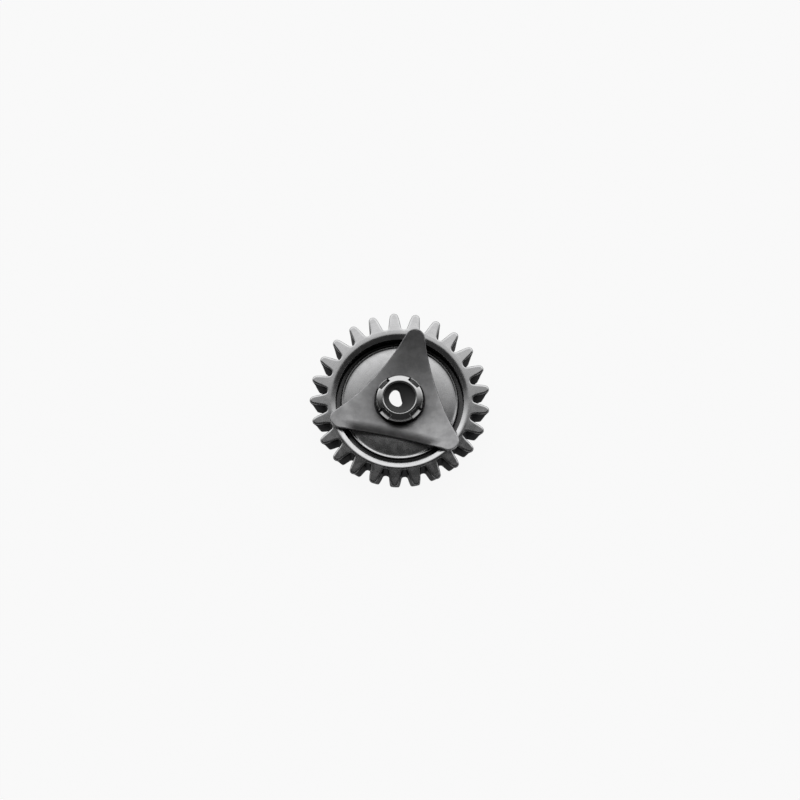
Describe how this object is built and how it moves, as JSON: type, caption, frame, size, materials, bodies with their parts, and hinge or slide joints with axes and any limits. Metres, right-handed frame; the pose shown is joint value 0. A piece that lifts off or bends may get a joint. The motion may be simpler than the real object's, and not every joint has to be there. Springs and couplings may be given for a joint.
{
  "type": "watch minute pinion",
  "caption": "Minute pinion of a watch: a toothed driving wheel that slips on a riveted hub, pressed by a three-cornered dished friction spring.",
  "frame": {"origin": "on the wheel's axis, at its flat underside", "axes": "+Z along the axis, from the flat underside towards the riveted head of the hub; +X to the right and +Y away in the picture"},
  "size_m": [0.0036, 0.0036, 0.0008],
  "materials": {
    "wheel_steel": "hardened steel, turned and polished",
    "hub_steel": "hardened steel, polished head",
    "spring_steel": "spring steel, dark satin"
  },
  "bodies": {
    "wheel": {"driving_wheel": "wheel_steel"},
    "hub": {"riveted_hub": "hub_steel", "friction_spring": "spring_steel"}
  },
  "joints": [
    {"name": "wheel_slip", "type": "hinge", "parent": "wheel", "child": "hub", "pos_m": [0, 0, 0.0003], "axis": [0, 0, 1], "continuous": true}
  ]
}
